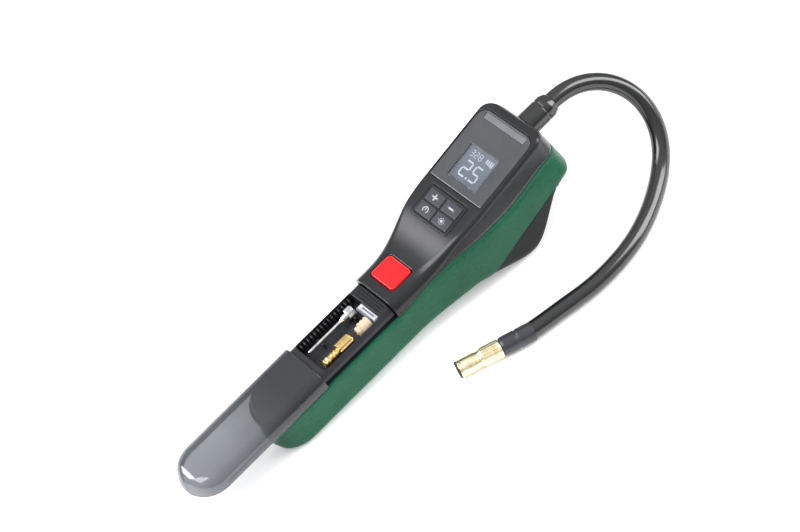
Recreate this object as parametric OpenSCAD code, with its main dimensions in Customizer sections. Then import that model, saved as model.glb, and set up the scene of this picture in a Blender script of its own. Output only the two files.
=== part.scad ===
// Cordless handheld tyre inflator with a pressure display, a storage bay under a sliding
// cover and a short hose. It lies on its back: on the butt of the handle and on the motor cover.
//
// The parts are drawn in the tool's own frame: X runs from the butt to the head, Z points out of
// the display and Y runs across. placed() then lays the tool down on the plane z = 0.

/* [Body] */
// Length of the body without the hose gland
body_len = 224; // [218:1:230]
// Width of the handle
handle_w = 36; // [35.5:0.5:37]
// Depth of the handle
handle_h = 36; // [35.5:0.5:37]
// Width of the head
head_w = 48; // [47:0.5:50]
// Wall thickness of the shells
wall = 2; // [1.8:0.1:2.2]
// Angle between the tool's length and the surface that it lies on
rest_tilt = 4.7; // [4.5:0.1:4.8]

/* [Cover] */
// Length of the sliding cover
cover_len = 93; // [92:0.5:93.5]
// How far the cover is slid open
cover_open = 53; // [0:1:53]
// Wall thickness of the cover
cover_wall = 1.8; // [1.6:0.1:1.9]

/* [Hose] */
// Outside diameter of the hose
hose_d = 10.5; // [9:0.5:11]
// Length of the gland outside the head
gland_len = 12; // [10:1:14]
// Length of the brass chuck
chuck_len = 26; // [24:1:30]
// Radius of the chuck's bore over the valve stem
chuck_bore_r = 3.95; // [3.9:0.05:4.1]

/* [Drive] */
// Module of the gear teeth
gear_m = 0.7; // [0.65:0.01:0.7]
// Teeth on the pinion, an odd number so that a gap faces the gear
pinion_teeth = 9; // [9:2:9]
// Teeth on the crank gear
gear_teeth = 34; // [32:2:34]
// Crank radius, half of the piston's stroke
crank_r = 5; // [4:0.5:5]

/* [Hidden] */
$fn = 48;

// Colours
green = "#3f7f62";
black = "#2d3033";
grey = "#55575c";
red = "#e6232a";
brass = "#c8a55a";
steel = "#b4b8bc";
board = "#1d5a3a";
clear = [0.75, 0.78, 0.8, 0.35];

// Plan and side outline of the body
handle_r = handle_w / 2;
head_end_r = 10;
butt_bottom_r = 5;
butt_top_r = 9;
head_edge_r = 6;
neck_start = 100;
neck_len = 60;
rise_start = 106;
rise_len = 40;
face_z0 = 48;
face_x0 = 162;
face_slope = 0.19;
face_angle = atan(face_slope);
rim_z = 25;
front_start = 94;
bump_start = 140;
bump_low_x = 181;
bump_depth = 15.5;
bump_run_in = 40;
bump_run_out = 35;
head_back_z = 14;
head_lean_start = 180;
head_lean_len = 40;
head_lean_z = head_back_z + head_edge_r;
cover_line_x = 150;
cover_line_slope = 0.31;
motor_cover_end = 210;
motor_cover_step = 0.6;
corner_steps = 4;

// Placement on the surface
mid_x = (body_len + gland_len - cover_open) / 2;
rest_drop = mid_x * sin(rest_tilt) - butt_bottom_r * (sin(rest_tilt) + cos(rest_tilt) - 1);

// Display face stack, measured down from the face
window_t = 2;
window_x = 163.5;
window_len = 47.6;
window_w = 43;
window_r = 7;
lens_x = 42;
lens_len = 4;
lens_w = 33;
lcd_x = [5.6, 27];
lcd_w = 23.4;
pcb_drop = 5.6;
pcb_t = 1.4;
pcb_size = [68.5, 40];

// Keypad and power button
keypad_x = [140.5, 160.5];
keypad_w = 30;
key_gap = 0.5;
key_lift = 0.7;
key_drop = 2.6;
button_x = 108.6;
button_size = [15.6, 19.2];
button_top = handle_h + 1.2;

// Storage bay
tray_inset = cover_wall + 0.6;
tray_w = handle_w - 2 * tray_inset;
tray_end = 93.6;
tray_z = [22.8, handle_h - tray_inset];
bay_x = [44, 86];
bay_w = 26.4;
bay_floor = 25;
rail_z = 26;
valve_y = -8;
needle_y = 5.5;
nozzle_x = 72;
nozzle_y = -8.4;
adapter_z = 29.4;
// Cradles: place along the bay, place across it and radius of the notch
cradles = [
    [51.6, valve_y, 2.7], [62, valve_y, 4.4], [55, needle_y, 1.25], [77.5, needle_y, 3.9],
    [73, nozzle_y, 3.5]
];

// Power train
cell_d = 18.4;
cell_x = [15, 80];
cell_z = 11.6;
gear_x = 173;
gear_t = 4;
gear_z = 3.2;
pitch_r = gear_m * gear_teeth / 2;
pinion_r = gear_m * pinion_teeth / 2;
motor_z = gear_z + pitch_r + pinion_r + 0.08;
motor_r = 12.2;
motor_x = [gear_x - 34, gear_x - 5];
motor_cap_t = 3;
shaft_r = 1.15;
plate_x = gear_x - 4.5;
plate_t = 2;
axle_r = 2;
pin_r = 1.5;
rod_x = gear_x + 12;
rod_t = 4;
cyl_x = rod_x + rod_t / 2;
cyl_z = [17, 35];
bore_r = 7;
sleeve_r = 8.5;
piston_top = 34.4;
pin_top_z = gear_z + crank_r;
air_z = 38.5;
gland_z = 44.5;
gland_r = 7.4;
manifold_x = 209;
manifold_t = 4.2;
air_bore_r = 2;
nipple_r = 3;
screw_spots = [[30, 12.6], [80, 12.6], [128, 15]];
screw_r = 1.2;
screw_head_r = 2.2;
post_r = 2.7;
boss_z = 24;
gland_hole_r = gland_r - 1.5;

// Corners that the hose rounds on its way over the surface: x, y and the gap under the hose
hose_r = hose_d / 2;
socket_len = 6;
hose_route = [
    [143, 0, 58], [153.5, 0.5, 58.5], [168, -2, 55], [180.5, -7.5, 47], [188, -16.5, 36],
    [189, -26, 23.5], [184, -35, 12], [174, -43, 3.5], [161, -51, 0], [147.5, -58.5, 0],
    [133.5, -64.5, 0], [118.5, -68, 0], [103, -69.5, 0], [88, -69, 0], [72.5, -66.5, 0],
    [58, -65, 0], [47, -63, 0.3]
];
hose_end = [42.5, -61.5, 0.4];
collar_len = 9;
collar_r = 5.6;
tail_r = 4.4;
chuck_angle = 162;
chuck_r = 5.6;
chuck_bore_len = 8;
seal_r = 3.4;

function smooth(t) = let (u = min(max(t, 0), 1)) u * u * (3 - 2 * u);
function round_end(r, inset, d) = d >= r ? 0 : r - inset - sqrt(max(0, pow(r - inset, 2) - pow(r - d, 2)));

// Half width, top and bottom of the body at x, set in by inset
function flare(x) = handle_r + (head_w / 2 - handle_r) * smooth((x - neck_start) / neck_len);
function half_width(x, inset) = flare(x) - inset - round_end(handle_r, inset, x)
    - round_end(head_end_r, inset, body_len - x);
function slope_z(x) = face_z0 + face_slope * (x - face_x0);
function face_z(x) = let (t = smooth((x - rise_start) / rise_len)) handle_h * (1 - t) + slope_z(x) * t;
function top_z(x, inset) = face_z(x) - inset - round_end(butt_top_r, inset, x)
    - round_end(head_edge_r, inset, body_len - x);
function back_z(x) = x < bump_low_x
    ? -bump_depth * smooth((x - bump_start) / bump_run_in)
    : -bump_depth + (bump_depth + head_back_z) * smooth((x - bump_low_x) / bump_run_out);
function bottom_z(x, inset) = back_z(x) + inset + round_end(butt_bottom_r, inset, x)
    + round_end(head_edge_r, inset, body_len - x);
function top_corner(x) = 9 - 6 * smooth((x - 105) / 45);
function bottom_corner(x) = 5 + 3 * smooth((x - 145) / 25);

// Parting lines in the side view: front to rear shell, and rear shell to motor cover
function rim(x) = rim_z + 8 * smooth((x - 92) / 45) + 9 * smooth((x - 170) / 50);
function cover_line(x) = cover_line_slope * (x - cover_line_x);

// Points along the body at which its section is drawn
function stations(inset) = concat(
    [for (a = [8:13.6:89]) handle_r - (handle_r - inset) * cos(a)],
    [handle_r, 60, 94],
    [for (x = [101:6:213]) x],
    [for (a = [16:18.5:90]) body_len - head_end_r + (head_end_r - inset) * sin(a)]
);

function corner(y, z, r, start) = [
    for (i = [0:corner_steps]) let (a = start + 90 * i / corner_steps) [y + r * cos(a), z + r * sin(a)]
];
function section(x, inset) =
    let (w = half_width(x, inset), b = bottom_z(x, inset), t = top_z(x, inset),
         most = 0.98 * min(w, (t - b) / 2),
         rt = min(most, max(0.8, top_corner(x) - inset)),
         rb = min(most, max(0.8, bottom_corner(x) - inset)))
    [for (p = concat(corner(w - rt, t - rt, rt, 0), corner(rt - w, t - rt, rt, 90),
                     corner(rb - w, b + rb, rb, 180), corner(w - rb, b + rb, rb, 270)))
        leaned([x, p[0], p[1]])];

// Leans the head's end back, so that it stands square to the display face
function head_lean(x) = face_slope * smooth((x - head_lean_start) / head_lean_len);
function leaned(p) = let (back = head_lean(p[0]) * max(0, p[2] - head_lean_z))
    [p[0] - back, p[1], p[2] - face_slope * back];

// Closed solid through rings of equal length
module loft(rings) {
    n = len(rings[0]);
    last = len(rings) - 1;
    sides = [
        for (i = [0:last - 1], j = [0:n - 1]) let (k = (j + 1) % n)
            [i * n + j, (i + 1) * n + j, (i + 1) * n + k, i * n + k]
    ];
    ends = [[for (j = [0:n - 1]) j], [for (j = [0:n - 1]) last * n + n - 1 - j]];
    polyhedron([for (r = rings) each r], concat(sides, ends));
}

module body_form(inset) {
    loft([for (x = stations(inset)) section(x, inset)]);
}

// Side outline, drawn in X and Z, with a thickness across
module across(points, width = 80) {
    rotate([90, 0, 0]) linear_extrude(width, center = true) polygon(points);
}

// Cylinder that starts at a point and runs along +X
module along_x(at, r, h) {
    translate(at) rotate([0, 90, 0]) cylinder(r = r, h = h);
}

// Block given by its lowest corner and size
module block(at, size) {
    translate(at) cube(size);
}

// Lays what is drawn in the tool's frame on the surface
module placed() {
    translate([handle_h * sin(rest_tilt), 0, rest_drop])
        rotate([0, -rest_tilt, 0])
            translate([-mid_x, 0, 0]) children();
}

// Moves to a point on the display face, with Z along the face's normal
module on_face(x, depth = 0) {
    translate([x, 0, slope_z(x)]) rotate([0, -face_angle, 0]) translate([0, 0, -depth]) children();
}

// ---- Shells ----

module rear_shell() placed() color(green) {
    difference() {
        intersection() {
            difference() {
                body_form(0);
                body_form(wall);
            }
            across(concat(
                [for (x = [94:6:226]) [x, rim(x)]],
                [[230, rim(230)], [230, -5], [motor_cover_end, -5]],
                [[motor_cover_end, cover_line(motor_cover_end)], [cover_line_x, 0], [cover_line_x, -30]],
                [[-5, -30], [-5, rim_z]]
            ));
        }
        block([-1, -4.7, cell_z - 1.8], [wall + 3, 9.4, 3.6]);
        screw_bores();
        gland_hole();
    }
    difference() {
        for (spot = screw_spots, side = [-1, 1])
            translate([spot[0], side * spot[1], wall - 0.1])
                cylinder(r = post_r, h = (spot[0] < front_start ? tray_z[0] - 0.2 : boss_z) - wall + 0.1);
        screw_bores();
    }
}

module front_shell() placed() color(grey) {
    difference() {
        intersection() {
            difference() {
                body_form(0);
                body_form(wall);
            }
            across(concat(
                [for (x = [front_start:6:226]) [x, rim(x)]],
                [[230, rim(230)], [230, 80], [front_start, 80]]
            ));
        }
        on_face(window_x, 5) linear_extrude(12) window_outline(0);
        on_face(keypad_x[0], 6) block([0, -keypad_w / 2, 0], [20.2, keypad_w, 12]);
        block([button_x - button_size[0] / 2 - 0.4, -button_size[1] / 2 - 0.4, 30],
              [button_size[0] + 0.8, button_size[1] + 0.8, 15]);
        gland_hole();
    }
    for (side = [-1, 1]) translate([screw_spots[2][0], side * screw_spots[2][1], boss_z + 0.2]) difference() {
        cylinder(r = post_r, h = face_z(screw_spots[2][0]) - wall + 0.3 - boss_z);
        translate([0, 0, -1]) cylinder(r = screw_r + 0.1, h = 9);
    }
}

// Hole for the gland through the head's leaning end
module gland_hole() {
    along_x([body_len - 6 * wall, 0, gland_z], gland_hole_r, 7 * wall);
}

// Lower cover of the head, cut flat where it meets the surface
module motor_cover() {
    color(black) difference() {
        placed() intersection() {
            difference() {
                body_form(motor_cover_step);
                body_form(motor_cover_step + wall);
            }
            across([
                [cover_line_x, -0.01], [cover_line_x, -40], [motor_cover_end, -40],
                [motor_cover_end, cover_line(motor_cover_end)]
            ]);
        }
        block([-20, -40, -10], [200, 80, 10]);
    }
}

// Holes for the screws: a recess for the head and a clearance hole up to the top of the post
module screw_bores() {
    for (spot = screw_spots, side = [-1, 1])
        translate([spot[0], side * spot[1], 0]) union() {
            translate([0, 0, -1]) cylinder(r = screw_head_r + 0.2, h = 2.5);
            cylinder(r = screw_r + 0.1, h = 40);
        }
}

module shell_screws() placed() color(steel) {
    for (spot = screw_spots, side = [-1, 1])
        translate([spot[0], side * spot[1], 0.3]) difference() {
            union() {
                cylinder(r = screw_head_r, h = 1.2);
                cylinder(r = screw_r, h = (spot[0] < front_start ? tray_z[0] + 0.9 : boss_z + 7) - 0.3);
            }
            for (turn = [0, 90]) rotate(turn) cube([2.6, 0.7, 1.2], center = true);
        }
}

// ---- Display, keys and button ----

module display_window() placed() color("#0c0d10") {
    on_face(window_x, window_t) linear_extrude(window_t) difference() {
        window_outline(0.2);
        translate([lcd_x[0], -lcd_w / 2]) square([lcd_x[1] - lcd_x[0], lcd_w]);
        translate([lens_x, -lens_w / 2]) square([lens_len, lens_w]);
    }
}

// Window plan with round corners at the head's end, drawn from its lower edge
module window_outline(gap) {
    half = window_w / 2 - gap;
    length = window_len - gap;
    union() {
        translate([gap, -half]) square([length - gap - window_r, 2 * half]);
        translate([length - window_r - 1, window_r - half]) square([window_r + 1, 2 * (half - window_r)]);
        for (side = [-1, 1]) translate([length - window_r, side * (half - window_r)]) circle(r = window_r);
    }
}

module light_lens() placed() color([0.85, 0.87, 0.9, 0.6]) {
    on_face(window_x, window_t)
        block([lens_x + 0.1, -lens_w / 2 + 0.1, 0], [lens_len - 0.2, lens_w - 0.2, window_t - 0.1]);
}

module light_led() placed() color("white") {
    for (side = [-1, 1])
        on_face(window_x, pcb_drop)
            block([lens_x + 0.5, side * 7 - 1.5, 0], [3, 3, pcb_drop - window_t - 0.4]);
}

module lcd_panel() placed() color("#aab0ba") {
    on_face(window_x, window_t + 1.2)
        block([lcd_x[0] - 1.2, -lcd_w / 2 - 1.2, 0], [lcd_x[1] - lcd_x[0] + 2.4, lcd_w + 2.4, 1.1]);
}

module lcd_frame() placed() color("white") {
    on_face(window_x, pcb_drop)
        block([lcd_x[0] - 2.2, -lcd_w / 2 - 2.2, 0], [lcd_x[1] - lcd_x[0] + 4.4, lcd_w + 4.4, 2.3]);
}

module main_pcb() placed() color(board) {
    on_face(keypad_x[0] + 1, pcb_drop + pcb_t)
        block([0, -pcb_size[1] / 2, 0], [pcb_size[0], pcb_size[1], pcb_t]);
}

// Centres of the four keys in the keypad's own frame
key_size = [(keypad_x[1] - keypad_x[0] - 3.6 - key_gap) / 2, (keypad_w - 3.6 - key_gap) / 2];
function key_at(i, j) = [
    1.8 + key_size[0] / 2 + i * (key_size[0] + key_gap),
    (j - 0.5) * (key_size[1] + key_gap)
];

module key(i, j) placed() color(black) {
    on_face(keypad_x[0], key_drop - key_lift) translate(key_at(i, j))
        union() {
            translate([0, 0, key_drop / 2])
                cube([key_size[0] - 0.3, key_size[1] - 0.3, key_drop], center = true);
            translate([0, 0, -0.6]) cylinder(r = 1.5, h = 1.2);
        }
}

module key_plus() key(1, 1);
module key_minus() key(1, 0);
module key_unit() key(0, 1);
module key_light() key(0, 0);

module key_switches() placed() color(steel) {
    for (i = [0, 1], j = [0, 1])
        on_face(keypad_x[0], pcb_drop) translate(key_at(i, j))
            translate([0, 0, 0.75]) cube([4.5, 4.5, 1.5], center = true);
}

module keypad_bezel() placed() color(grey) {
    on_face(keypad_x[0], 2) difference() {
        block([0.1, -keypad_w / 2 + 0.1, 0], [19.8, keypad_w - 0.2, 2.1]);
        for (i = [0, 1], j = [0, 1])
            translate(key_at(i, j)) cube([key_size[0], key_size[1], 6], center = true);
    }
}

module power_button() placed() color(red) {
    translate([button_x, 0, 0]) union() {
        block([-button_size[0] / 2, -button_size[1] / 2, 33],
              [button_size[0], button_size[1], button_top - 33]);
        translate([0, 0, 31.4]) cylinder(r = 1.6, h = 2);
    }
}

module button_spring() placed() color(steel) {
    translate([button_x, 0, 29]) difference() {
        cylinder(r = 2.9, h = 4);
        translate([0, 0, -1]) cylinder(r = 2.2, h = 6);
    }
}

module button_switch() placed() color(black) {
    translate([button_x, 0, 0]) union() {
        block([-3, -3, 26.8], [6, 6, 2.2]);
        block([-9, -13, 25.2], [18, 26, 1.6]);
        translate([0, 0, 29]) cylinder(r = 1.4, h = 0.6);
    }
}

// ---- Storage bay and cover ----

module adapter_tray() placed() color(black) {
    difference() {
        intersection() {
            body_form(tray_inset);
            block([0, -tray_w, tray_z[0]], [tray_end, 2 * tray_w, 20]);
        }
        difference() {
            block([bay_x[0], -bay_w / 2, bay_floor], [bay_x[1] - bay_x[0], bay_w, 20]);
            for (c = cradles) cradle(c[0], c[1], c[2]);
            block([bay_x[0], 10.6, bay_floor - 1], [bay_x[1] - bay_x[0], 1.2, 7.6]);
        }
        for (side = [-1, 1])
            block([-1, side * (tray_w / 2 - 0.3) - 0.7, rail_z - 0.4], [tray_end + 2, 1.4, 1.8]);
        for (x = [87.5:1.8:92]) block([x, -12, tray_z[1] - 0.8], [0.9, 24, 1]);
        for (spot = screw_spots, side = [-1, 1])
            translate([spot[0], side * spot[1], 20]) cylinder(r = screw_r + 0.05, h = 4);
    }
}

// Upright rib across the bay with a round notch of radius r
module cradle(x, y, r) {
    difference() {
        block([x, y - r - 1.4, bay_floor - 1], [1.3, 2 * r + 2.8, adapter_z - 0.3 - bay_floor + 1]);
        along_x([x - 1, y, adapter_z], r, 4);
    }
}

module adapter_clip() placed() color("#9fa3aa") {
    difference() {
        block([82.6, -12.6, bay_floor], [3.2, 19.6, 8]);
        block([82, 1.5, bay_floor + 1], [5, 8, 8]);
    }
}

module sliding_cover() placed() color(clear) {
    translate([-cover_open, 0, 0]) union() {
        intersection() {
            difference() {
                body_form(0);
                body_form(cover_wall);
            }
            block([-1, -30, rim_z + 0.2], [cover_len + 1, 60, 30]);
        }
        for (side = [-1, 1])
            block([handle_r + 1, side * (handle_r - cover_wall - 0.35) - 0.55, rail_z], [70, 1.1, 1]);
    }
}

// Brass adapter with a square head and a ridged push-on end
module adapter_valve() placed() color(brass) {
    translate([47, valve_y, adapter_z]) rotate([0, 90, 0]) difference() {
        union() {
            cylinder(r = 2.4, h = 21);
            cylinder(r = 3.1, h = 4.5);
            translate([0, 0, 6]) cylinder(r = 2.9, h = 1.4);
            translate([0, 0, 8]) cylinder(r = 2.9, h = 1.4);
            translate([0, 0, 11]) cylinder(r = 4.1, h = 9.5, $fn = 8);
        }
        translate([0, 0, -1]) cylinder(r = 1.2, h = 24);
    }
}

// Ball needle on its threaded base
module adapter_needle() placed() color("#d8dade") {
    translate([46.5, needle_y, adapter_z]) rotate([0, 90, 0]) union() {
        cylinder(r = 0.95, h = 28);
        translate([0, 0, 27]) cylinder(r = 2.4, h = 4);
        translate([0, 0, 29.5]) cylinder(r = 3.6, h = 5);
    }
}

// Plastic nozzle with a brass sleeve's colour at its mouth
module adapter_nozzle() placed() color("#d9cdbd") {
    translate([nozzle_x, nozzle_y, adapter_z]) rotate([0, 90, 0]) difference() {
        union() {
            cylinder(r = 3.2, h = 4);
            translate([0, 0, 3]) cylinder(r = 4, h = 6.4);
        }
        translate([0, 0, -1]) cylinder(r = 1.6, h = 12);
    }
}

// ---- Battery and charging ----

module battery_cell() placed() color("#3b6ea8") {
    union() {
        along_x([cell_x[0], 0, cell_z], cell_d / 2, cell_x[1] - cell_x[0]);
        along_x([cell_x[1] - 0.1, 0, cell_z], 3, 0.7);
    }
}

module battery_tab_rear() placed() color(steel) {
    block([cell_x[0] - 0.4, -4, cell_z - 5], [0.4, 8, 10]);
}

module battery_tab_front() placed() color(steel) {
    block([cell_x[1] + 0.6, -4, cell_z - 5], [0.4, 8, 16]);
}

module charge_board() placed() color(board) {
    block([5, -7, cell_z - 3], [9.4, 14, 1.2]);
}

module charge_port() placed() color(steel) {
    difference() {
        block([0.8, -4.5, cell_z - 1.6], [7.5, 9, 3.2]);
        block([0, -4.1, cell_z - 1.2], [6.5, 8.2, 2.4]);
    }
}

// ---- Motor ----

module motor_can() placed() color(steel) {
    difference() {
        union() {
            along_x([motor_x[0], 0, motor_z], motor_r, motor_x[1] - motor_x[0]);
            along_x([motor_x[1] - 0.1, 0, motor_z], 3.4, 1.6);
        }
        along_x([motor_x[0] - 1, 0, motor_z], motor_r - 0.8, motor_x[1] - motor_x[0] - 0.2);
        along_x([motor_x[0], 0, motor_z], shaft_r + 0.05, 40);
    }
}

module motor_cap() placed() color("white") {
    difference() {
        union() {
            along_x([motor_x[0] - motor_cap_t, 0, motor_z], motor_r - 0.4, motor_cap_t);
            along_x([motor_x[0] - 0.1, 0, motor_z], motor_r - 0.8, 1.6);
        }
        along_x([motor_x[0] - 5, 0, motor_z], shaft_r + 0.05, 10);
    }
}

module motor_magnets() placed() color("#3a3a3c") {
    intersection() {
        difference() {
            along_x([motor_x[0] + 5, 0, motor_z], motor_r - 0.8, 20);
            along_x([motor_x[0] + 4, 0, motor_z], motor_r - 2.8, 22);
        }
        union() {
            for (side = [-1, 1]) block([motor_x[0], side * 10 - 7, motor_z - 9], [40, 14, 18]);
        }
    }
}

module motor_core() placed() color("#a0602c") {
    difference() {
        union() {
            along_x([motor_x[0] + 6, 0, motor_z], motor_r - 3.3, 18);
            along_x([motor_x[0] + 2.5, 0, motor_z], 3.2, 4);
        }
        along_x([motor_x[0] - 1, 0, motor_z], shaft_r, 40);
        for (a = [0:72:359])
            translate([motor_x[0] + 5, 0, motor_z]) rotate([a, 0, 0])
                block([0, -0.9, 5], [20, 1.8, 5]);
    }
}

module motor_shaft() placed() color(steel) {
    along_x([motor_x[0] - 4, 0, motor_z], shaft_r, gear_x + gear_t + 1 - motor_x[0] + 4);
}

// ---- Gears and crank ----

// Outline of a spur gear that has a tooth centred on +X
module gear_outline(teeth) {
    r = gear_m * teeth / 2;
    pitch = 360 / teeth;
    levels = [[r - 1.2 * gear_m, 0.31], [r, 0.225], [r + 0.9 * gear_m, 0.11]];
    polygon([
        for (i = [0:teeth - 1])
            each concat(
                [for (k = [0:2]) let (a = pitch * (i - levels[k][1])) levels[k][0] * [cos(a), sin(a)]],
                [for (k = [2:-1:0]) let (a = pitch * (i + levels[k][1])) levels[k][0] * [cos(a), sin(a)]]
            )
    ]);
}

// Gear plate along +X whose first tooth points along +Z
module gear_plate(x, z, teeth, thickness) {
    translate([x, 0, z]) rotate([0, 90, 0]) rotate(180) linear_extrude(thickness) gear_outline(teeth);
}

module pinion() placed() color(brass) {
    difference() {
        gear_plate(gear_x - 1, motor_z, pinion_teeth, gear_t + 2);
        along_x([gear_x - 3, 0, motor_z], shaft_r, 12);
    }
}

module crank_gear() placed() color("#e8e4d8") {
    difference() {
        union() {
            gear_plate(gear_x, gear_z, gear_teeth, gear_t);
            intersection() {
                along_x([gear_x + gear_t - 0.1, 0, gear_z], 10.4, 2.4);
                block([gear_x, -11, gear_z - 11], [10, 22, 7.5]);
            }
        }
        along_x([gear_x - 1, 0, gear_z], axle_r + 0.05, 12);
        along_x([gear_x + 1, 0, pin_top_z], pin_r, 12);
    }
}

module crank_pin() placed() color(steel) {
    along_x([gear_x + 1, 0, pin_top_z], pin_r, rod_x - 0.3 - gear_x - 1);
}

module gear_axle() placed() color(steel) {
    along_x([plate_x - 1, 0, gear_z], axle_r, gear_x + gear_t + 1.2 - plate_x + 1);
}

module axle_clip() placed() color(steel) {
    difference() {
        along_x([gear_x + gear_t + 0.2, 0, gear_z], 3.1, 0.6);
        along_x([gear_x, 0, gear_z], axle_r, 10);
    }
}

// Bracket that carries the motor, the gear's axle and the cylinder
module gearbox_frame() placed() color(steel) {
    difference() {
        union() {
            block([plate_x, -12.5, -3], [plate_t, 25, 35.5]);
            block([plate_x, -11, 26], [30, 22, 3]);
        }
        along_x([plate_x - 1, 0, motor_z], 3.5, 5);
        along_x([plate_x - 1, 0, gear_z], axle_r, 5);
        translate([cyl_x, 0, 20]) cylinder(r = sleeve_r, h = 20);
    }
}

module connecting_rod() placed() color("#e8e4d8") {
    difference() {
        union() {
            along_x([rod_x, 0, pin_top_z], 3.4, rod_t);
            block([rod_x, -1.8, pin_top_z], [rod_t, 3.6, piston_top - 5 - pin_top_z]);
            translate([cyl_x, 0, piston_top - 5.2]) cylinder(r = bore_r - 0.6, h = 5.2);
        }
        along_x([rod_x - 1, 0, pin_top_z], pin_r + 0.1, rod_t + 2);
        translate([cyl_x, 0, piston_top - 3.2]) difference() {
            cylinder(r = bore_r, h = 1.6);
            cylinder(r = bore_r - 1.6, h = 1.6);
        }
    }
}

module piston_seal() placed() color("#1b1b1d") {
    translate([cyl_x, 0, piston_top - 3.2]) difference() {
        cylinder(r = bore_r - 0.05, h = 1.6);
        translate([0, 0, -1]) cylinder(r = bore_r - 1.6, h = 4);
    }
}

module cylinder_sleeve() placed() color("#c9ccd0") {
    translate([cyl_x, 0, cyl_z[0]]) difference() {
        union() {
            cylinder(r = sleeve_r, h = cyl_z[1] - cyl_z[0]);
            translate([0, 0, 13]) cylinder(r = sleeve_r + 1.2, h = 1);
            translate([0, 0, 15.5]) cylinder(r = sleeve_r + 1.2, h = 1);
        }
        translate([0, 0, -1]) cylinder(r = bore_r, h = 30);
    }
}

module cylinder_head() placed() color("#8d9196") {
    translate([cyl_x, 0, cyl_z[1]]) difference() {
        union() {
            cylinder(r = sleeve_r + 1.5, h = 6.6);
            along_x([0, 0, air_z - cyl_z[1]], nipple_r, 13);
        }
        translate([0, 0, 1.5]) cylinder(r = 4, h = 3.6);
        translate([0, 0, -1]) cylinder(r = 1.5, h = 4);
        along_x([3.6, 0, air_z - cyl_z[1]], 1.2, 12);
    }
}

module valve_disc() placed() color("#1b1b1d") {
    translate([cyl_x, 0, cyl_z[1] + 1.5]) cylinder(r = 2.8, h = 0.8);
}

module valve_spring() placed() color(steel) {
    translate([cyl_x, 0, cyl_z[1] + 2.4]) difference() {
        cylinder(r = 2.4, h = 2.6);
        translate([0, 0, -1]) cylinder(r = 1.8, h = 5);
    }
}

// ---- Air line, hose and chuck ----

module air_tube() placed() color("#d6d9dc") {
    difference() {
        along_x([cyl_x + 10.2, 0, air_z], nipple_r + 1, manifold_x - cyl_x - 10.2);
        along_x([cyl_x, 0, air_z], nipple_r, 60);
    }
}

module pressure_sensor() placed() color(black) {
    union() {
        on_face(200, pcb_drop + pcb_t + 3.5) block([0, -14, 0], [7, 8, 3.5]);
        translate([203, -10, air_z - 1.4]) cylinder(r = 1.4, h = 10);
        translate([203, -nipple_r - 1.05, air_z]) rotate([90, 0, 0]) cylinder(r = 1.2, h = 6);
    }
}

// Manifold that lifts the air line to the gland, a neck through the shells and the outer gland
module hose_gland() placed() color(black) {
    neck_x = manifold_x + manifold_t;
    gland_end = body_len + gland_len;
    difference() {
        union() {
            block([manifold_x, -5.5, air_z - 4.2], [manifold_t, 11, gland_z - air_z + 8.9]);
            along_x([neck_x - 0.1, 0, gland_z], gland_hole_r - 0.1, 10);
            along_x([neck_x - 0.1, 0, gland_z], gland_r - 0.2, 2.3);
            difference() {
                along_x([neck_x, 0, gland_z], gland_r, gland_end - neck_x);
                body_form(-0.05);
            }
        }
        along_x([manifold_x - 1, 0, air_z], air_bore_r, 3);
        translate([manifold_x + 1.8, 0, air_z]) cylinder(r = air_bore_r - 0.4, h = gland_z - air_z);
        along_x([manifold_x + 1.8, 0, gland_z], air_bore_r, gland_end - manifold_x);
        along_x([gland_end - socket_len, 0, gland_z], hose_r + 0.6, socket_len + 1);
    }
}

function unit(v) = v / norm(v);
function laid(p) = [
    (p[0] - mid_x) * cos(rest_tilt) + (handle_h - p[2]) * sin(rest_tilt),
    p[1],
    (p[0] - mid_x) * sin(rest_tilt) + p[2] * cos(rest_tilt) + rest_drop
];

// Path of the hose's centre, from the gland's socket to the collar
hose_corners = concat(
    [laid([body_len + gland_len - socket_len, 0, gland_z])],
    [for (p = concat(hose_route, [hose_end])) p + [0, 0, hose_r]]
);
hose_path = concat(
    [hose_corners[0]],
    [for (i = [1:len(hose_route)]) (hose_corners[i - 1] + 4 * hose_corners[i] + hose_corners[i + 1]) / 6],
    [hose_end + [0, 0, hose_r]]
);
hose_last = len(hose_path) - 1;
function hose_way(i) = i == 0 ? [cos(rest_tilt), 0, sin(rest_tilt)]
    : i == hose_last ? [cos(chuck_angle), sin(chuck_angle), 0]
    : unit(hose_path[i + 1] - hose_path[i - 1]);
function hose_ring(i) =
    let (way = hose_way(i), side = unit(cross([0, 0, 1], way)), up = cross(way, side))
    [for (a = [0:36:359]) hose_path[i] + hose_r * (cos(a) * side + sin(a) * up)];

module hose() color(black) {
    loft([for (i = [0:hose_last]) hose_ring(i)]);
}

// Moves to the end of the hose, with X pointing on along it
module at_hose_end(along = 0) {
    translate(hose_end + [0, 0, hose_r]) rotate([0, 0, chuck_angle]) translate([along, 0, 0]) children();
}

module hose_collar() color(black) {
    at_hose_end() difference() {
        union() {
            along_x([0.05, 0, 0], collar_r, collar_len);
            along_x([collar_len - 3, 0, 0], tail_r, 7);
        }
        along_x([-1, 0, 0], 1.6, 30);
    }
}

module chuck_body() color("#efe1b9") {
    at_hose_end(collar_len + 0.4) difference() {
        union() {
            along_x([0, 0, 0], chuck_r, 12);
            along_x([11, 0, 0], chuck_r - 0.5, chuck_len - 11);
        }
        along_x([-1, 0, 0], tail_r + 0.05, 5);
        along_x([3, 0, 0], 2.2, 20);
        along_x([chuck_len - chuck_bore_len - 2.3, 0, 0], seal_r + 0.05, 3);
        along_x([chuck_len - chuck_bore_len, 0, 0], chuck_bore_r, 12);
    }
}

module chuck_seal() color("#1b1b1d") {
    at_hose_end(collar_len + 0.4) difference() {
        along_x([chuck_len - chuck_bore_len - 2.3, 0, 0], seal_r, 2);
        along_x([0, 0, 0], 1.8, 40);
    }
}

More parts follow.
